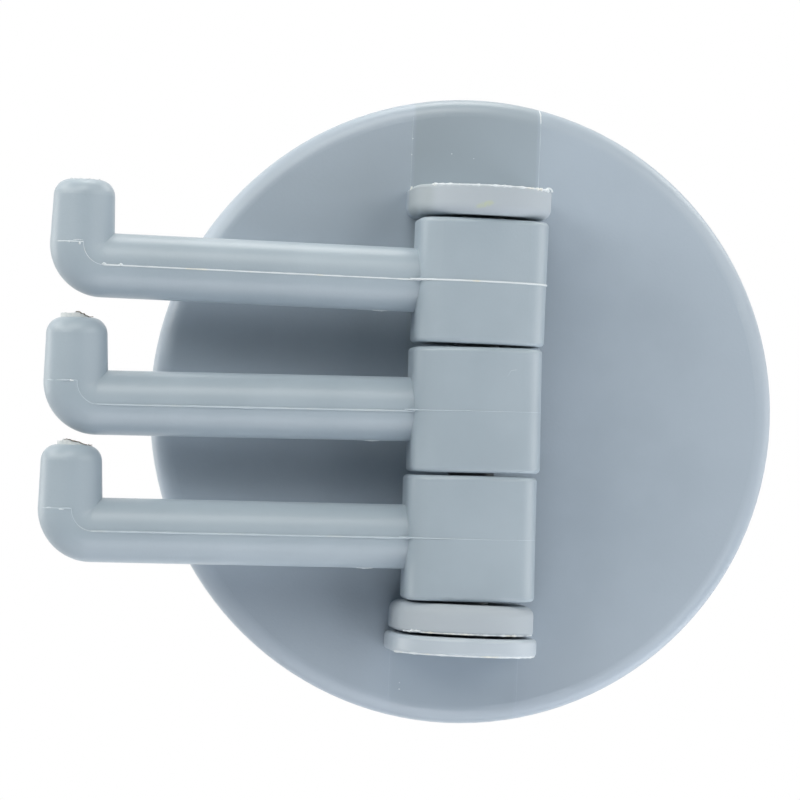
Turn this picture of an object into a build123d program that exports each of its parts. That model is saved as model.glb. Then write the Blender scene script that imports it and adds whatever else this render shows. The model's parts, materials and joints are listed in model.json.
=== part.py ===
from build123d import *

import os
from math import atan, degrees, hypot, sqrt

# Rotating wall hook: a round adhesive plate with two ears, a hinge pin and three swinging hooks.
# Millimetres. The origin is the centre of the face that sticks to the wall.
# +X is to the right as seen from the room, +Y goes into the wall and +Z is up.

# Round wall plate
plate_diameter = 70.0
plate_thickness = 4.0
rim_round = 2.0
back_edge_round = 0.4

# Adhesive pad, seated in a recess in the back of the plate
pad_diameter = 64.0
pad_thickness = 1.2
pad_proud = 0.3
pad_clearance = 0.25

# Hub of a hook, a block with gently bowed faces and generously rounded corners on the hinge pin
hub_width = 14.2
hub_depth = 13.0
hub_height = 13.67
hub_bow_radius = 14.0
hub_corner_round = 3.5
hub_edge_round = 0.5

# Arm of a hook, a round rod that turns up into a tapered tip
rod_diameter = 7.06
rod_root = 1.5
arm_reach = 47.25
bend_radius = 2.3
tip_height = 9.24
tip_taper = 2.0
tip_round = 1.8

# Hinge pin and its fits
pin_diameter = 5.0
pin_fit = 0.03
pin_sink = 0.4
pin_lead_in = 0.6
bore_clearance = 0.2
hub_play = 0.02
swing_clearance = 0.65

# Ears that carry the pin, round about it in front
ear_width = 15.1
ear_thickness = 3.27
ear_hub_side_round = 1.2
ear_outer_side_round = 0.4

# Flat head of the pin, below the lower ear and of the same form
head_width = 16.0
head_thickness = 2.05
head_gap = 0.3
head_wall_gap = 0.4
head_edge_round = 0.5

# Hooks from the top down, each with the share of its slack on the pin by which its arm hangs down
hang_shares = {"upper_hook": 0.0, "middle_hook": 0.8, "lower_hook": 0.69}

# Depths from the wall towards the room
plate_face = pad_proud + plate_thickness
hub_bow_centre = hub_bow_radius - hub_depth / 2
hub_corner_across = hub_width / 2 - hub_corner_round
hub_corner_along = sqrt((hub_bow_radius - hub_corner_round) ** 2 - hub_corner_across**2) - hub_bow_centre
hub_swing_radius = hypot(hub_corner_across, hub_corner_along) + hub_corner_round
axis_depth = plate_face + hub_swing_radius + swing_clearance
head_back = plate_face + head_wall_gap

# Slack of a hub on the pin: the slope at which its bore would touch the pin at both ends
slack_slope = 2 * bore_clearance / hub_height

# Heights of the stack of hubs, which stay clear of each other however the hanging arms turn
hub_gap = hub_play + hub_width * max(hang_shares.values()) * slack_slope
hub_pitch = hub_height + hub_gap
ear_inner = (len(hang_shares) * hub_pitch + hub_gap) / 2
ear_outer = ear_inner + ear_thickness
head_top = -ear_outer - head_gap

# Centre lines of an arm, measured from the hinge axis
rod_radius = rod_diameter / 2
tip_offset = arm_reach - rod_radius
bend_start = tip_offset - bend_radius


# Wall plate with its two ears
with BuildPart() as base_plate:
    with BuildSketch(Plane.XZ.offset(pad_proud)):
        Circle(plate_diameter / 2)
    extrude(amount=plate_thickness)
    fillet(base_plate.edges().sort_by(Axis.Y)[0], rim_round)
    fillet(base_plate.edges().sort_by(Axis.Y)[-1], back_edge_round)

    # Recess for the pad
    with BuildSketch(Plane.XZ.offset(pad_proud)):
        Circle(pad_diameter / 2 + pad_clearance)
    extrude(amount=pad_thickness - pad_proud, mode=Mode.SUBTRACT)

    # Lower and upper ear, well rounded on the side of the hubs and crisper on the outer side
    for ear_base, hub_side, outer_side in ((-ear_outer, -1, 0), (ear_inner, 0, -1)):
        with BuildSketch(Plane.XY.offset(ear_base)):
            with Locations((0, -axis_depth)):
                Circle(ear_width / 2)
                Rectangle(ear_width, axis_depth - plate_face, align=(Align.CENTER, Align.MIN))
        extrude(amount=ear_thickness)
        ear_edges = base_plate.edges(Select.LAST).filter_by(Plane.XY)
        ear_rims = (ear_edges - ear_edges.group_by(Axis.Y)[-1]).group_by(Axis.Z)
        fillet(ear_rims[hub_side], ear_hub_side_round)
        fillet(ear_rims[outer_side], ear_outer_side_round)

    # Pin bore through both ears
    with Locations((0, -axis_depth)):
        Hole(pin_diameter / 2 + pin_fit)

base_plate.part.label = "base_plate"


# Foam pad that holds the plate on the wall
with BuildPart() as adhesive_pad:
    with BuildSketch(Plane.XZ):
        Circle(pad_diameter / 2)
    extrude(amount=pad_thickness)

adhesive_pad.part.label = "adhesive_pad"


# Hinge pin, pushed up from below through both ears and all the hubs
with BuildPart() as hinge_pin:
    with BuildSketch(Plane.XY.offset(head_top)):
        with Locations((0, -axis_depth)):
            Circle(head_width / 2)
            Rectangle(head_width, axis_depth - head_back, align=(Align.CENTER, Align.MIN))
    extrude(amount=-head_thickness)
    fillet(hinge_pin.edges().filter_by(Plane.XY), head_edge_round)

    with BuildSketch(Plane.XY.offset(head_top)):
        with Locations((0, -axis_depth)):
            Circle(pin_diameter / 2)
    extrude(amount=ear_outer - pin_sink - head_top)
    chamfer(hinge_pin.edges().sort_by(Axis.Z)[-1], pin_lead_in)

hinge_pin.part.label = "hinge_pin"


# One hook moulding, with the middle of its hub at the origin and its arm along -X
with BuildPart() as hook_moulding:
    with BuildSketch(Plane.XY.offset(-hub_height / 2)) as hub_outline:
        Rectangle(hub_width, hub_depth)
        with Locations((0, hub_bow_centre)):
            Circle(hub_bow_radius, mode=Mode.INTERSECT)
        with Locations((0, -hub_bow_centre)):
            Circle(hub_bow_radius, mode=Mode.INTERSECT)
        fillet(hub_outline.vertices(), hub_corner_round)
    extrude(amount=hub_height)
    fillet(hook_moulding.edges().filter_by(Plane.XY), hub_edge_round)

    # Rod, rooted in the side of the hub
    with BuildSketch(Plane.YZ.offset(-bend_start)):
        Circle(rod_radius)
    extrude(amount=bend_start - hub_width / 2 + rod_root)

    # Elbow: the part of the rod's section outside the bend axis, turned up into the tip
    with BuildSketch(Plane.YZ.offset(-bend_start)):
        Circle(rod_radius)
        with Locations((0, bend_radius)):
            Rectangle(rod_diameter, rod_radius, align=(Align.CENTER, Align.MIN), mode=Mode.SUBTRACT)
    revolve(axis=Axis((-bend_start, 0, bend_radius), (0, 1, 0)), revolution_arc=90)

    # Tapered tip with a rounded end
    with BuildSketch(Plane.XY.offset(bend_radius)):
        with Locations((-tip_offset, 0)):
            Circle(rod_radius)
    extrude(amount=tip_height - bend_radius, taper=tip_taper)
    fillet(hook_moulding.edges(Select.LAST).sort_by(Axis.Z)[-1], tip_round)

    # Bore for the pin
    Hole(pin_diameter / 2 + bore_clearance)


os.makedirs("parts", exist_ok=True)
for piece in (base_plate, adhesive_pad, hinge_pin):
    export_step(piece.part, f"parts/{piece.part.label}.step")

# The same moulding three times on the pin
for place, (name, hang_share) in enumerate(hang_shares.items()):
    hub_level = ear_inner - hub_gap - hub_height / 2 - place * hub_pitch
    hang_angle = degrees(atan(hang_share * slack_slope))
    with BuildPart() as hook:
        with Locations(Location((0, -axis_depth, hub_level), (0, -hang_angle, 0))):
            add(hook_moulding.part)
    hook.part.label = name
    export_step(hook.part, f"parts/{name}.step")
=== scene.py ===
import json
from math import cos, radians, sin
from typing import NamedTuple

import bmesh
import bpy
from mathutils import Matrix, Vector, noise


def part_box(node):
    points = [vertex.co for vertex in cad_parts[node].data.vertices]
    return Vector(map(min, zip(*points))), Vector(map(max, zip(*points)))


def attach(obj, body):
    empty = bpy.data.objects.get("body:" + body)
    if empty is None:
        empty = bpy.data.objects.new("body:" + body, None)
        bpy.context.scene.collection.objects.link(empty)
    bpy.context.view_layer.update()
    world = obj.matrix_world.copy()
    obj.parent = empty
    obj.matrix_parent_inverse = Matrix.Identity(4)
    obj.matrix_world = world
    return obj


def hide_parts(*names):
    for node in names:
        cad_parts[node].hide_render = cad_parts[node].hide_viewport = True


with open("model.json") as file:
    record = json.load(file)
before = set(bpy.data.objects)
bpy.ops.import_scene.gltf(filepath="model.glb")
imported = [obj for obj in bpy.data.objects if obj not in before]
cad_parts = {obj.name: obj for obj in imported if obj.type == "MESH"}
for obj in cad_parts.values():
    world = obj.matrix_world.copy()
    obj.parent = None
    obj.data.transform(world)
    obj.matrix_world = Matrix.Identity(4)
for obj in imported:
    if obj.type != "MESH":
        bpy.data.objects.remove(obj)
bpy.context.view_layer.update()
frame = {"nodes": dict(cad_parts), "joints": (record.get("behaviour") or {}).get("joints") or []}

# The object's lengths are written in millimetres, and MM turns them into Blender's metres
MM = 0.001


def node_box(node):
    """Lowest and highest corner of a solid in millimetres, to the micrometre."""
    return [[round(length / MM, 3) for length in corner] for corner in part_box(node)]


# Sizes of the solids that the pieces made here sit on
ROD_RADIUS = 3.53
BEND_RADIUS = 2.3
HUB_HEIGHT = 13.67
PLATE_FACE = 4.3
EAR_RADIUS = 7.55
EAR_OUTER = 24.48

# Sizes and places that the frame gives
AXIS_DEPTH = -frame["joints"][0]["pos_m"][1] / MM
(_, pad_front, _), (pad_right, _, _) = node_box("adhesive_pad")
PAD_RADIUS = pad_right
PAD_THICKNESS = -pad_front
(_, _, pin_bottom), (pin_right, _, _) = node_box("hinge_pin")
HEAD_RADIUS = pin_right
HEAD_BOTTOM = -pin_bottom
(hook_left, _, hook_bottom), (_, _, hook_top) = node_box("upper_hook")
HUB_PITCH = hook_bottom + HUB_HEIGHT / 2
TIP_OFFSET = -hook_left - ROD_RADIUS
TIP_HEIGHT = hook_top - HUB_PITCH


def srgb(red, green, blue):
    """A colour written as it looks, from 0 to 255, as the shader's linear values."""
    channels = [c / 255 for c in (red, green, blue)]
    return tuple(c / 12.92 if c <= 0.04045 else ((c + 0.055) / 1.055) ** 2.4 for c in channels) + (1.0,)


class Value:
    """A number that changes over a surface or a sky. Operators add the Math nodes."""

    def __init__(self, nodes, socket):
        self.nodes = nodes
        self.socket = socket

    def math(self, operation, *operands):
        node = self.nodes.node("ShaderNodeMath", {"operation": operation}, dict(enumerate(operands)))
        return Value(self.nodes, node.outputs["Value"])

    def __add__(self, other):
        return self.math("ADD", self, other)

    def __radd__(self, other):
        return self.math("ADD", other, self)

    def __sub__(self, other):
        return self.math("SUBTRACT", self, other)

    def __rsub__(self, other):
        return self.math("SUBTRACT", other, self)

    def __mul__(self, other):
        return self.math("MULTIPLY", self, other)

    def __rmul__(self, other):
        return self.math("MULTIPLY", other, self)

    def __abs__(self):
        return self.math("ABSOLUTE", self)

    def max(self, other):
        return self.math("MAXIMUM", self, other)


class Nodes:
    """The nodes of one material, or of the world."""

    def __init__(self, tree):
        self.tree = tree
        self.place = self.node("ShaderNodeTexCoord").outputs

    def node(self, kind, settings=None, sockets=None):
        """A new node of a kind, with its settings and then the values or links of its sockets."""
        node = self.tree.nodes.new(kind)
        for name, setting in (settings or {}).items():
            setattr(node, name, setting)
        self.feed(node, sockets or {})
        return node

    def feed(self, node, sockets):
        for name, given in sockets.items():
            source = given.socket if isinstance(given, Value) else given
            if isinstance(source, bpy.types.NodeSocket):
                self.tree.links.new(source, node.inputs[name])
            else:
                node.inputs[name].default_value = source

    def value(self, socket):
        return Value(self, socket)

    def axes(self, place="Object"):
        """The three coordinates of a point of the surface, or of a direction in the world."""
        split = self.node("ShaderNodeSeparateXYZ", None, {"Vector": self.place[place]})
        return [self.value(output) for output in split.outputs]

    def noise(self, grain, detail=2.0, roughness=0.5):
        """Soft noise from 0 to 1 whose lumps are about as wide as grain."""
        node = self.node("ShaderNodeTexNoise", None, {
            "Vector": self.place["Object"], "Scale": 1 / grain, "Detail": detail, "Roughness": roughness})
        return self.value(node.outputs["Fac"])

    def pores(self, width):
        """Distance from the middle of the nearest pore, in pore widths."""
        node = self.node("ShaderNodeTexVoronoi", {"feature": "F1"}, {
            "Vector": self.place["Object"], "Scale": 1 / width})
        return self.value(node.outputs["Distance"])

    def step(self, value, low, high):
        """0 below low, 1 above high and smooth between."""
        node = self.node("ShaderNodeMapRange", {"interpolation_type": "SMOOTHSTEP"}, {
            "Value": value, "From Min": low, "From Max": high})
        return self.value(node.outputs["Result"])

    def blend(self, share, first, second):
        """From the first colour to the second."""
        node = self.node("ShaderNodeMix", {"data_type": "RGBA"}, {0: share, 6: first, 7: second})
        return node.outputs[2]

    def bump(self, height, depth):
        node = self.node("ShaderNodeBump", None, {"Height": height, "Distance": depth})
        return node.outputs["Normal"]


# Finish that all the mouldings share
PLASTIC_IOR = 1.46
CLOUD_WIDTH = 9 * MM
GRAIN_WIDTH = 0.35 * MM
GRAIN_DEPTH = 0.012 * MM

# Marks in the plate's finish: the band left by the mould's insert, a painted glow that pales the rim and the
# upper ear's stain
BAND_HALF_WIDTH = 7.2
BAND_EDGE = 0.5
RIM_START = 22
RIM_END = 33
STAIN_X = -0.6
STAIN_Z = 22.3
STAIN_HALF_LENGTH = 1.3
STAIN_HALF_WIDTH = 0.42
STAIN_SLOPE = 0.3


def new_material(name):
    material = bpy.data.materials.new(name)
    material.use_nodes = True
    return material, Nodes(material.node_tree), material.node_tree.nodes["Principled BSDF"]


def moulded_plastic(name, colour, pale):
    """Satin blue-grey plastic with a faint cloudiness and the fine grain of the mould."""
    material, nodes, shader = new_material(name)
    cloud = nodes.noise(CLOUD_WIDTH, 3.0, 0.55)
    nodes.feed(shader, {
        "Base Color": nodes.blend(nodes.step(cloud, 0.3, 0.7), colour, pale),
        "Roughness": 0.30 + 0.06 * cloud,
        "IOR": PLASTIC_IOR,
        "Normal": nodes.bump(nodes.noise(GRAIN_WIDTH), GRAIN_DEPTH)})
    return material


def plate_finish():
    """The same plastic, with a darker and smoother band up the middle and paler, duller ears."""
    material, nodes, shader = new_material("plate_plastic")
    x, y, z = nodes.axes()
    height = -1 * y
    ear = nodes.step(height, (PLATE_FACE + 0.4) * MM, (PLATE_FACE + 3.5) * MM)

    # Disc, with a painted glow that makes it a little paler towards its rim
    cloud = nodes.noise(CLOUD_WIDTH, 3.0, 0.55)
    cloudy = nodes.blend(nodes.step(cloud, 0.3, 0.7), srgb(158, 171, 183), srgb(163, 176, 188))
    # Painted light: the outer ring of the disc is paled to stand in for the glow round its rim
    painted_rim_glow = nodes.step(x * x + z * z, (RIM_START * MM) ** 2, (RIM_END * MM) ** 2)
    plain = nodes.blend(0.7 * painted_rim_glow, cloudy, srgb(168, 181, 193))

    # Band on the front of the disc, fainter towards the bottom
    beside = nodes.step(abs(x), (BAND_HALF_WIDTH - BAND_EDGE) * MM, BAND_HALF_WIDTH * MM)
    front = nodes.step(height, 1.2 * MM, 2.4 * MM)
    band = (1 - beside) * front * (1 - ear)
    upper = nodes.step(z, -20 * MM, 10 * MM)
    banded = nodes.blend(band * (0.3 + 0.7 * upper), plain, srgb(157, 170, 180))

    # Ears, with painted shade darkening the upper one's left end
    # Painted shade: the upper ear's left end, which faces away from the light, is darkened in its colour
    left_end = 1 - nodes.step(x, -6.6 * MM, -5.4 * MM)
    yellowing_and_shade = 0.6 * left_end * nodes.step(z, 0, MM)
    eared = nodes.blend(ear, banded, nodes.blend(yellowing_and_shade, srgb(171, 181, 189), srgb(151, 161, 165)))

    # Slanting yellow stain on the upper ear, broken by a fine noise
    from_stain = x - STAIN_X * MM
    along = from_stain * (1 / (STAIN_HALF_LENGTH * MM))
    across = (z - STAIN_Z * MM - STAIN_SLOPE * from_stain) * (1 / (STAIN_HALF_WIDTH * MM))
    spot = 1 - nodes.step(along * along + across * across, 0.0, 1.0)
    stain = spot * ear * nodes.step(nodes.noise(0.5 * MM), 0.35, 0.6)

    nodes.feed(shader, {
        "Base Color": nodes.blend(0.45 * stain, eared, srgb(186, 196, 140)),
        "Roughness": 0.32 + 0.06 * cloud - 0.06 * band + 0.3 * ear,
        "IOR": PLASTIC_IOR,
        "Normal": nodes.bump(nodes.noise(GRAIN_WIDTH) * (1 - 0.7 * band), GRAIN_DEPTH)})
    return material


def flash_plastic(name, colour, yellowing_and_shade):
    """The thin edge of plastic that escapes along a mould's joint, a little yellowed in places."""
    material, nodes, shader = new_material(name)
    yellowed = nodes.step(nodes.noise(2.5 * MM, 3.0), 0.52, 0.7)
    nodes.feed(shader, {
        "Base Color": nodes.blend(yellowed, colour, yellowing_and_shade),
        "Roughness": 0.40 + 0.10 * yellowed,
        "IOR": PLASTIC_IOR,
        "Normal": nodes.bump(nodes.noise(0.12 * MM, 3.0), 0.02 * MM)})
    return material


def torn_plastic(name, colour, dark):
    """The rough stub where the runner was broken off."""
    material, nodes, shader = new_material(name)
    fibres = nodes.noise(0.3 * MM, 4.0, 0.7)
    nodes.feed(shader, {
        "Base Color": nodes.blend(nodes.step(fibres, 0.42, 0.66), colour, dark),
        "Roughness": 0.55 + 0.2 * fibres,
        "IOR": PLASTIC_IOR,
        "Normal": nodes.bump(fibres, 0.1 * MM)})
    return material


def foam():
    """White closed-cell foam tape with fine pores."""
    material, nodes, shader = new_material("pad_foam")
    depth = nodes.pores(0.45 * MM)
    nodes.feed(shader, {
        "Base Color": nodes.blend(nodes.step(depth, 0.1, 0.5), srgb(228, 229, 226), srgb(242, 242, 239)),
        "Roughness": 0.85 + 0.1 * depth,
        "IOR": 1.4,
        "Normal": nodes.bump(depth, 0.08 * MM)})
    return material


def dress(node, material):
    """Gives a solid its finish."""
    surface = frame["nodes"][node].data
    surface.materials.clear()
    surface.materials.append(material)


def finish_piece(piece, body, material, smooth=True):
    """Puts a finished piece in the scene, on its body and with its finish."""
    piece.data.materials.clear()
    piece.data.materials.append(material)
    piece.data.polygons.foreach_set("use_smooth", [smooth] * len(piece.data.polygons))
    bpy.context.scene.collection.objects.link(piece)
    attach(piece, body)


def finish_shape(name, shape, body, material, smooth=True):
    """Turns a bmesh into a piece."""
    bmesh.ops.recalc_face_normals(shape, faces=shape.faces)
    piece = bpy.data.objects.new(name, bpy.data.meshes.new(name))
    shape.to_mesh(piece.data)
    shape.free()
    finish_piece(piece, body, material, smooth)
    return piece


plate_plastic = plate_finish()
hook_plastic = moulded_plastic("hook_plastic", srgb(156, 170, 180), srgb(161, 175, 185))
pin_plastic = moulded_plastic("pin_plastic", srgb(179, 191, 201), srgb(185, 196, 205))
flash_finish = flash_plastic("flash_plastic", srgb(214, 222, 227), srgb(220, 221, 212))
seam_finish = flash_plastic("seam_plastic", srgb(182, 195, 204), srgb(186, 197, 203))
stub_finish = torn_plastic("stub_plastic", srgb(216, 221, 222), srgb(204, 211, 214))
torn_finish = torn_plastic("torn_plastic", srgb(142, 135, 126), srgb(92, 84, 76))
for node, material in {
    "base_plate": plate_plastic,
    "hinge_pin": pin_plastic,
    "upper_hook": hook_plastic,
    "middle_hook": hook_plastic,
    "lower_hook": hook_plastic,
}.items():
    dress(node, material)


# Foam pad, a flat round with slightly softened edges
PAD_EDGE = 0.25
pad = bmesh.new()
profile = [pad.verts.new((radius * MM, y * MM, 0)) for radius, y in (
    (0, 0), (PAD_RADIUS - PAD_EDGE, 0), (PAD_RADIUS, -PAD_EDGE), (PAD_RADIUS, PAD_EDGE - PAD_THICKNESS),
    (PAD_RADIUS - PAD_EDGE, -PAD_THICKNESS), (0, -PAD_THICKNESS))]
sides = [pad.edges.new(pair) for pair in zip(profile, profile[1:])]
bmesh.ops.spin(
    pad, geom=profile + sides, axis=(0, 1, 0), cent=(0, 0, 0), angle=radians(360), steps=128, use_merge=True)
bmesh.ops.remove_doubles(pad, verts=pad.verts, dist=0.001 * MM)
foam_pad = finish_shape("foam_pad", pad, "base", foam(), smooth=False)
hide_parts("adhesive_pad")


# Flash: thin beads of plastic along the joints of the mould.
# A path is a list of points with their bead's radius as the fourth number, in millimetres.
def straight(*marks, spacing=0.3):
    """Evenly spaced points from mark to mark."""
    path = []
    for start, end in zip(marks, marks[1:]):
        start, end = Vector(start), Vector(end)
        steps = max(1, round((end - start).to_3d().length / spacing))
        path += [start.lerp(end, step / steps) for step in range(steps)]
    return path + [Vector(marks[-1])]


def arc(centre, first, second, start, end, bead, steps=40):
    """Points round a centre; first and second are the arms of the arc at 0 and 90 degrees."""
    centre, first, second = Vector(centre), Vector(first), Vector(second)
    path = []
    for step in range(steps + 1):
        turn = radians(start + (end - start) * step / steps)
        path.append(Vector((*(centre + first * cos(turn) + second * sin(turn)), bead)))
    return path


def round_pin(radius, level, start, end, bead, steps=160):
    """Points round the pin, with 0 degrees at the left and 90 in front."""
    return arc((0, 0, level), (-radius, 0, 0), (0, -radius, 0), start, end, bead, steps)


def lumpy(path, share, grain, seed=0.0):
    """The same path with a bead that swells and thins."""
    for point in path:
        point.w *= max(0.05, 1 + share * noise.noise(point.to_3d() / grain + Vector((seed, 0, 0))))
    return path


def add_flash(name, body, place, paths, material, hugged=None):
    """Beads along the paths, which are laid on the surface of the hugged node if one is given."""
    curve = bpy.data.curves.new(name, "CURVE")
    curve.dimensions = "3D"
    # With a depth of 1, the radius of a knot is the radius of the bead there
    curve.bevel_depth = 1.0
    curve.bevel_resolution = 1
    curve.use_fill_caps = True
    for path in paths:
        spline = curve.splines.new("POLY")
        spline.points.add(len(path) - 1)
        for knot, point in zip(spline.points, path):
            spot = place @ (point.to_3d() * MM)
            if hugged:
                spot = frame["nodes"][hugged].closest_point_on_mesh(spot)[1]
            knot.co = spot.to_4d()
            knot.radius = point.w * MM
    tracing = bpy.data.objects.new(name, curve)
    piece = bpy.data.objects.new(name, bpy.data.meshes.new_from_object(tracing))
    bpy.data.objects.remove(tracing)
    finish_piece(piece, body, material)


class Hook(NamedTuple):
    """A hook's place on the pin, how far its seam lies below its middle, and the beads of that seam."""
    level: float
    hang_degrees: float
    seam_drop: float
    rod_bead: float
    bend_bead: float
    tip_bead: float
    hub_left_bead: float
    hub_right_bead: float
    finish: bpy.types.Material


HOOKS = {
    "upper": Hook(
        level=HUB_PITCH, hang_degrees=0.0, seam_drop=0.1, rod_bead=0.094, bend_bead=0.026, tip_bead=0.06,
        hub_left_bead=0.12, hub_right_bead=0.12, finish=flash_finish),
    "middle": Hook(
        level=0.0, hang_degrees=1.341, seam_drop=0.25, rod_bead=0.12, bend_bead=0.06, tip_bead=0.09,
        hub_left_bead=0.08, hub_right_bead=0.02, finish=seam_finish),
    "lower": Hook(
        level=-HUB_PITCH, hang_degrees=1.157, seam_drop=0.1, rod_bead=0.12, bend_bead=0.06, tip_bead=0.09,
        hub_left_bead=0.10, hub_right_bead=0.02, finish=seam_finish),
}

# The rod's seam starts inside the hub. The hub's seam is drawn on a circle round it and laid on its faces,
# and it has its left and right beads at HUB_SIDE from the pin.
SEAM_START = -6.5
HUB_CIRCLE = 9
HUB_SIDE = 8


def hook_place(hook):
    """The place of a hook that is drawn with its hub at the origin and its arm along -X."""
    on_pin = Matrix.Translation(Vector((0, -AXIS_DEPTH, hook.level)) * MM)
    return on_pin @ Matrix.Rotation(-radians(hook.hang_degrees), 4, "Y")


def arm_seam(hook):
    """Beads along the front and back of the rod and its bend, and round the tip."""
    bend = TIP_OFFSET - BEND_RADIUS
    low = -hook.seam_drop
    paths = []
    for front in (-ROD_RADIUS, ROD_RADIUS):
        rod = straight((SEAM_START, front, low, hook.rod_bead), (-bend, front, low, hook.rod_bead))
        elbow = arc(
            (-bend, front, BEND_RADIUS), (0, 0, low - BEND_RADIUS), (-BEND_RADIUS, 0, 0),
            start=6, end=90, bead=hook.bend_bead, steps=12)
        paths.append(lumpy(rod + elbow, share=0.5, grain=1.3, seed=hook.level))

    # The ring is sunk into the tip at the left, so that it stays inside the hook's reach
    sunk = ROD_RADIUS - 1.35 * hook.tip_bead
    ring = arc(
        (-TIP_OFFSET, 0, BEND_RADIUS), (0, -ROD_RADIUS, 0), (-sunk, 0, 0),
        start=0, end=180, bead=hook.tip_bead)
    paths.append(lumpy(ring, share=0.9, grain=0.8, seed=hook.level))
    return paths


def hub_seam(hook):
    """Bead round the hub, from the rod's front to the rod's back, that changes from left to right."""
    path = round_pin(HUB_CIRCLE, -hook.seam_drop / 2, start=27, end=333, bead=hook.hub_left_bead)
    for point in path:
        rightwards = (point.x + HUB_SIDE) / (2 * HUB_SIDE)
        point.w = hook.hub_left_bead + (hook.hub_right_bead - hook.hub_left_bead) * rightwards
    return path


hook_places = {name: hook_place(hook) for name, hook in HOOKS.items()}


def add_hook_flash(name, mark, paths, material, hugging=True):
    """Beads on a hook, which are laid on its surface if they hug it."""
    hugged = f"{name}_hook" if hugging else None
    add_flash(f"{name}_{mark}", f"{name}_arm", hook_places[name], paths, material, hugged)


for name, hook in HOOKS.items():
    add_hook_flash(name, "arm_flash", arm_seam(hook), hook.finish, hugging=False)
    add_hook_flash(name, "hub_flash", [hub_seam(hook)], hook.finish)

# Lumps of flash on the front and bottom of the arms: place in the hook's own frame, length and bead.
# FRONT and BELOW are outside the rod, from where a lump is laid on its surface.
FRONT = -5
BELOW = -6
LUMPS = {
    "upper": (
        (-46.1, FRONT, 2.25, 0.5, 0.13), (-44.3, FRONT, 2.1, 0.4, 0.15), (-44.6, FRONT, 2.55, 1.6, 0.05),
        (-41.4, FRONT, 0.0, 0.5, 0.16), (-39.6, FRONT, -0.05, 0.5, 0.17), (-10.9, -0.6, BELOW, 1.7, 0.12)),
    "middle": ((-44.6, FRONT, 2.3, 0.8, 0.14), (-11.2, -0.6, BELOW, 1.6, 0.13)),
    "lower": ((-45.3, FRONT, 2.2, 0.9, 0.10), (-11.4, -0.6, BELOW, 1.8, 0.13)),
}
for name, lumps in LUMPS.items():
    paths = []
    for x, y, z, length, bead in lumps:
        left, right = [(x + side * length / 2, y, z, bead / 3) for side in (-1, 1)]
        path = straight(left, (x, y, z, bead), right, spacing=0.1)
        paths.append(lumpy(path, share=0.6, grain=0.3))
    add_hook_flash(name, "arm_lumps", paths, flash_finish)

# Fine scratch on the front of the middle hub
scratch = straight(
    (3.5, -HUB_CIRCLE, 3.7, 0.015), (3.9, -HUB_CIRCLE, 4.35, 0.025), (4.75, -HUB_CIRCLE, 4.45, 0.035),
    spacing=0.1)
add_hook_flash("middle", "hub_scratch", [scratch], seam_finish)

# Upper ear: a ragged line along its top edge, with a curl at its right end and two nubs at its left
pin_place = Matrix.Translation(Vector((0, -AXIS_DEPTH, 0)) * MM)
ear_rim = EAR_RADIUS - 0.12
top_line = round_pin(ear_rim, EAR_OUTER - 0.12, start=35, end=160, bead=0.13)
curl = arc((6.95, -2.3, EAR_OUTER - 0.2), (0.4, 0, 0), (0, -0.1, 0.4), start=0, end=300, bead=0.11, steps=24)
nubs = [straight((x, 4.5, EAR_OUTER - 0.3, 0.16), (x, 4.5, EAR_OUTER + 0.12, 0.09)) for x in (-7.45, -7.1)]
upper_flash = [lumpy(top_line, share=1.1, grain=0.5), curl, *nubs]
add_flash("upper_ear_flash", "base", pin_place, upper_flash, flash_finish)

# Lower ear: a thin line along its bottom edge, with a thicker stretch at the left
bottom_line = round_pin(ear_rim, 0.1 - EAR_OUTER, start=20, end=165, bead=0.09)
thick_stretch = round_pin(ear_rim, 0.2 - EAR_OUTER, start=33, end=44, bead=0.16, steps=12)
lower_flash = [lumpy(bottom_line, share=1.2, grain=0.6), lumpy(thick_stretch, share=0.6, grain=0.4)]
add_flash("lower_ear_flash", "base", pin_place, lower_flash, flash_finish)

# Pin head: a bright line along its bottom edge
head_line = round_pin(HEAD_RADIUS - 0.2, 0.15 - HEAD_BOTTOM, start=10, end=170, bead=0.13)
head_flash = [lumpy(head_line, share=0.7, grain=0.6)]
add_flash("pin_head_flash", "base", pin_place, head_flash, flash_finish)

# Witness lines of the mould's insert, on both sides of the band above the upper ear and below the pin head
LINE_TOP = 32.6
LINE_BOTTOM = -32.4
LOWER_LINE_BEAD = 0.015
plate_place = Matrix.Translation(Vector((0, -PLATE_FACE, 0)) * MM)
lines = []
for x, upper_bead in ((-BAND_HALF_WIDTH, 0.035), (BAND_HALF_WIDTH, 0.05)):
    for start, end, bead in (
            (EAR_OUTER, LINE_TOP, upper_bead), (-HEAD_BOTTOM, LINE_BOTTOM, LOWER_LINE_BEAD)):
        line = straight((x, 0, start, bead), (x, 0, end, bead))
        lines.append(lumpy(line, share=0.9, grain=1.2, seed=x))
add_flash("witness_lines", "base", plate_place, lines, seam_finish)

# Crumbs of flash on the plate: one over the rim at the end of the right line, and specks at x, z with a bead
SPECKS = (
    (-7.15, 30.2, 0.08), (-7.2, 28.4, 0.07), (-2.7, 28.7, 0.07), (-0.2, 28.3, 0.05),
    (-6.0, -30.6, 0.06), (-6.0, -31.3, 0.08))
line_x = BAND_HALF_WIDTH
rim_crumb = straight(
    (line_x, 0, 32.0, 0.03), (line_x, 0.05, 32.8, 0.06), (line_x, 0.6, 33.6, 0.10),
    (line_x - 0.1, 1.2, 34.1, 0.06), spacing=0.15)
crumbs = [lumpy(rim_crumb, share=0.8, grain=0.5)]
for x, z, bead in SPECKS:
    crumbs.append(straight((x - bead, 0, z, bead), (x + bead, 0, z, bead)))
add_flash("plate_crumbs", "base", plate_place, crumbs, flash_finish)


# Stubs of the runner on the tips
def height_at(x, marks):
    """Height at x of the line drawn through the marks."""
    for (left, low), (right, high) in zip(marks, marks[1:]):
        if x <= right:
            return low + (high - low) * max(0, x - left) / (right - left)
    return marks[-1][1]


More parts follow.
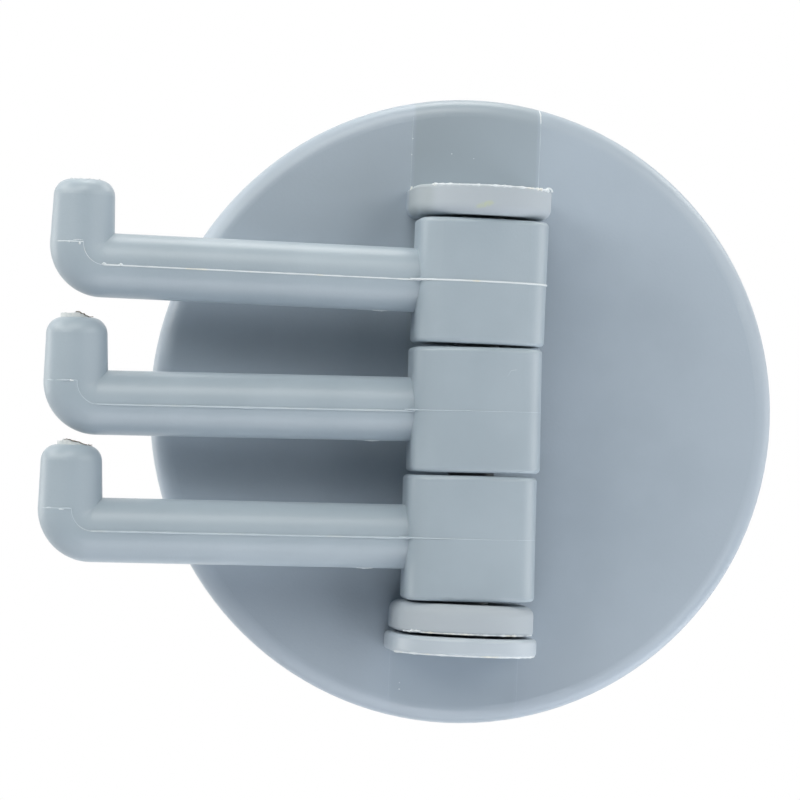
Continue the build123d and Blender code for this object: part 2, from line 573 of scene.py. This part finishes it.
class Stub(NamedTuple):
    """A torn stub: its offset from the tip's middle, how far its edge is frayed round from the right through
    the front, and the heights of its tear from left to right."""
    offset: float
    radius: float
    frayed_degrees: float
    tear: tuple

    def place(self):
        """The middle of the stub on top of the tip, in the hook's own frame."""
        return Vector((self.offset - TIP_OFFSET, 0, TIP_HEIGHT))

    def torn_height(self, spot):
        """Height of the tear over the tip, with a fine raggedness."""
        ragged = noise.noise(Vector((spot.x * 3, spot.y * 3, self.offset)))
        return height_at(spot.x, self.tear) + 0.1 * ragged


STUBS = {
    "upper": Stub(
        offset=0.0, radius=1.65, frayed_degrees=0,
        tear=((-1.65, 0.10), (-1.3, 0.0), (1.3, 0.0), (1.65, 0.12))),
    "middle": Stub(
        offset=-0.22, radius=1.6, frayed_degrees=90,
        tear=((-1.6, 0.45), (-0.3, 0.42), (0.1, 0.55), (0.4, 0.5), (1.6, 0.0))),
    "lower": Stub(
        offset=0.15, radius=1.75, frayed_degrees=125,
        tear=((-1.75, 0.35), (-1.2, 0.4), (-1.1, 0.62), (0.0, 0.42), (1.6, -0.05), (1.75, 0.1))),
}

# A stub starts as a post from -0.5 to 0.5, torn above TEAR_START and hollowed inside a rim at its end.
# It is then stretched, from its foot inside the tip up to the height of its tear.
TEAR_START = 0.36
HOLLOW_RIM = 0.2
HOLLOW_DEPTH = 0.25
STUB_FOOT = 0.6


def add_stub(name, stub):
    """A short round post on a tip, torn off at its end."""
    post = bmesh.new()
    bmesh.ops.create_cone(post, cap_ends=True, segments=48, radius1=stub.radius, radius2=stub.radius, depth=1)
    whole = post.verts[:] + post.edges[:] + post.faces[:]
    bmesh.ops.bisect_plane(post, geom=whole, plane_co=(0, 0, TEAR_START), plane_no=(0, 0, 1))
    torn = [face for face in post.faces if face.calc_center_median().z > TEAR_START]
    for face in torn:
        face.material_index = 1
    top = [face for face in torn if face.normal.z > 0.9]
    bmesh.ops.inset_region(post, faces=top, thickness=HOLLOW_RIM, depth=-HOLLOW_DEPTH)
    for vert in post.verts:
        share = min(1, max(0, vert.co.z + 0.5))
        vert.co.z = -STUB_FOOT + share * (STUB_FOOT + stub.torn_height(vert.co))
    bmesh.ops.translate(post, verts=post.verts, vec=stub.place())
    bmesh.ops.scale(post, verts=post.verts, vec=(MM, MM, MM))
    bmesh.ops.transform(post, verts=post.verts, matrix=hook_places[name])
    piece = finish_shape(f"{name}_tip_stub", post, f"{name}_arm", stub_finish, smooth=False)
    piece.data.materials.append(torn_finish if stub.frayed_degrees else stub_finish)


def add_tear(name, stub):
    """Dark frayed edge along the front of a stub's tear, with a loose fibre at its right end."""
    frayed = arc(
        (0, 0, 0), (stub.radius, 0, 0), (0, -stub.radius, 0), start=12, end=stub.frayed_degrees, bead=0.06)
    for point in frayed:
        point.z = stub.torn_height(point)
    root = frayed[4]
    fibre = straight(root, root + Vector((0.45, -0.1, 0.05, -0.02)), spacing=0.1)
    fringe = [lumpy(frayed, share=0.9, grain=0.25, seed=stub.offset), fibre]
    place = hook_places[name] @ Matrix.Translation(stub.place() * MM)
    add_flash(f"{name}_tip_tear", f"{name}_arm", place, fringe, torn_finish)


for name, stub in STUBS.items():
    add_stub(name, stub)
    if stub.frayed_degrees:
        add_tear(name, stub)


# Camera and lamps, placed round one point of the plate's face by angles in degrees and distances in metres
VIEW_CENTRE = Vector((-7.311, -PLATE_FACE, 0.929)) * MM
CAMERA_DISTANCE = 0.5
CAMERA_AZIMUTH = -5.926
CAMERA_ELEVATION = -0.924
CAMERA_ROLL = 2.501
CAMERA_LENS = 201.42
CAMERA_NEAR = 0.01
LAMP_DISTANCE = 0.55
WARM = (1.0, 0.985, 0.95)
COOL = (0.95, 0.96, 1.0)


def direction(azimuth, elevation):
    """From the object outwards, with azimuth 0 in front and 90 at the right."""
    around = radians(azimuth)
    above = radians(elevation)
    return Vector((sin(around) * cos(above), -cos(around) * cos(above), sin(above)))


away = direction(CAMERA_AZIMUTH, CAMERA_ELEVATION)
turn = (-away).to_track_quat("-Z", "Y").to_matrix() @ Matrix.Rotation(radians(CAMERA_ROLL), 3, "Z")
camera = bpy.data.objects.new("camera", bpy.data.cameras.new("camera"))
camera.data.lens = CAMERA_LENS
camera.data.clip_start = CAMERA_NEAR
camera.matrix_world = Matrix.Translation(VIEW_CENTRE + away * CAMERA_DISTANCE) @ turn.to_4x4()
bpy.context.scene.collection.objects.link(camera)
bpy.context.scene.camera = camera


def softbox(name, azimuth, elevation, width, height, power, tint):
    """A soft rectangular lamp that faces the object and isn't seen by the camera."""
    lamp = bpy.data.objects.new(name, bpy.data.lights.new(name, "AREA"))
    lamp.data.shape = "RECTANGLE"
    lamp.data.size = width
    lamp.data.size_y = height
    lamp.data.energy = power
    lamp.data.color = tint
    lamp.location = VIEW_CENTRE + LAMP_DISTANCE * direction(azimuth, elevation)
    lamp.rotation_euler = (VIEW_CENTRE - lamp.location).to_track_quat("-Z", "Y").to_euler()
    lamp.visible_camera = False
    bpy.context.scene.collection.objects.link(lamp)


# Each lamp's azimuth and elevation in degrees, width and height in metres, power in watts, and tint
LAMPS = {
    "upper_lamp": (-15, 50, 0.3, 0.26, 1.15, WARM),
    "left_lamp": (-66, 28, 0.7, 0.26, 2.35, WARM),
    "upper_right_lamp": (50, 25, 0.5, 0.3, 1.14, WARM),
    "lower_left_lamp": (-78, -25, 0.26, 0.26, 0.16, COOL),
    "lower_right_lamp": (42, -25, 0.36, 0.26, 0.80, COOL),
    "lower_lamp": (0, -50, 0.26, 0.26, 0.72, COOL),
    "bottom_right_lamp": (85, -50, 0.26, 0.26, 0.3, COOL),
    "top_rim_lamp": (180, 75, 0.26, 0.26, 0.8, WARM),
    "bottom_lamp": (0, -80, 0.8, 0.3, 0.95, COOL),
    "upper_left_rim_lamp": (-110, 40, 0.26, 0.26, 0.5, WARM),
    "left_rim_lamp": (-120, 0, 0.26, 0.26, 0.42, WARM),
    "upper_right_rim_lamp": (110, 40, 0.26, 0.26, 0.76, WARM),
    "right_lamp": (92, 0, 0.3, 0.26, 0.52, WARM),
    "lower_right_rim_lamp": (110, -40, 0.26, 0.26, 0.46, COOL),
}
for name, lamp in LAMPS.items():
    softbox(name, *lamp)

# White surroundings for the camera. Behind the object they light it dimly and show in its gloss,
# and in front its gloss shows a dimmer room.
BACKLIGHT = 0.5
ROOM_GLOSS = 0.3
world = bpy.data.worlds.new("surroundings")
world.use_nodes = True
bpy.context.scene.world = world
sky = Nodes(world.node_tree)
ray = sky.node("ShaderNodeLightPath").outputs
seen = sky.value(ray["Is Camera Ray"]).max(ray["Is Transmission Ray"])
gloss = sky.value(ray["Is Glossy Ray"])
behind = sky.step(sky.axes("Generated")[1], 0.0, 0.3)
sky.feed(world.node_tree.nodes["Background"], {
    "Color": (1, 1, 1, 1),
    "Strength": seen.max(behind * (BACKLIGHT + (1 - BACKLIGHT) * gloss)).max(ROOM_GLOSS * gloss)})

bpy.context.scene.view_settings.view_transform = "Standard"

# Floor, below the view
FLOOR_HALF_WIDTH = 0.45
FLOOR_PLACE = (0, -0.1, -0.6)
floor_grid = bmesh.new()
bmesh.ops.create_grid(floor_grid, x_segments=1, y_segments=1, size=FLOOR_HALF_WIDTH)
bmesh.ops.translate(floor_grid, verts=floor_grid.verts, vec=FLOOR_PLACE)
floor = bpy.data.objects.new("floor", bpy.data.meshes.new("floor"))
floor_grid.to_mesh(floor.data)
floor_grid.free()
floor_paint, floor_nodes, floor_shader = new_material("floor_paint")
floor_nodes.feed(floor_shader, {"Base Color": (0.85, 0.85, 0.85, 1)})
floor.data.materials.append(floor_paint)
bpy.context.scene.collection.objects.link(floor)
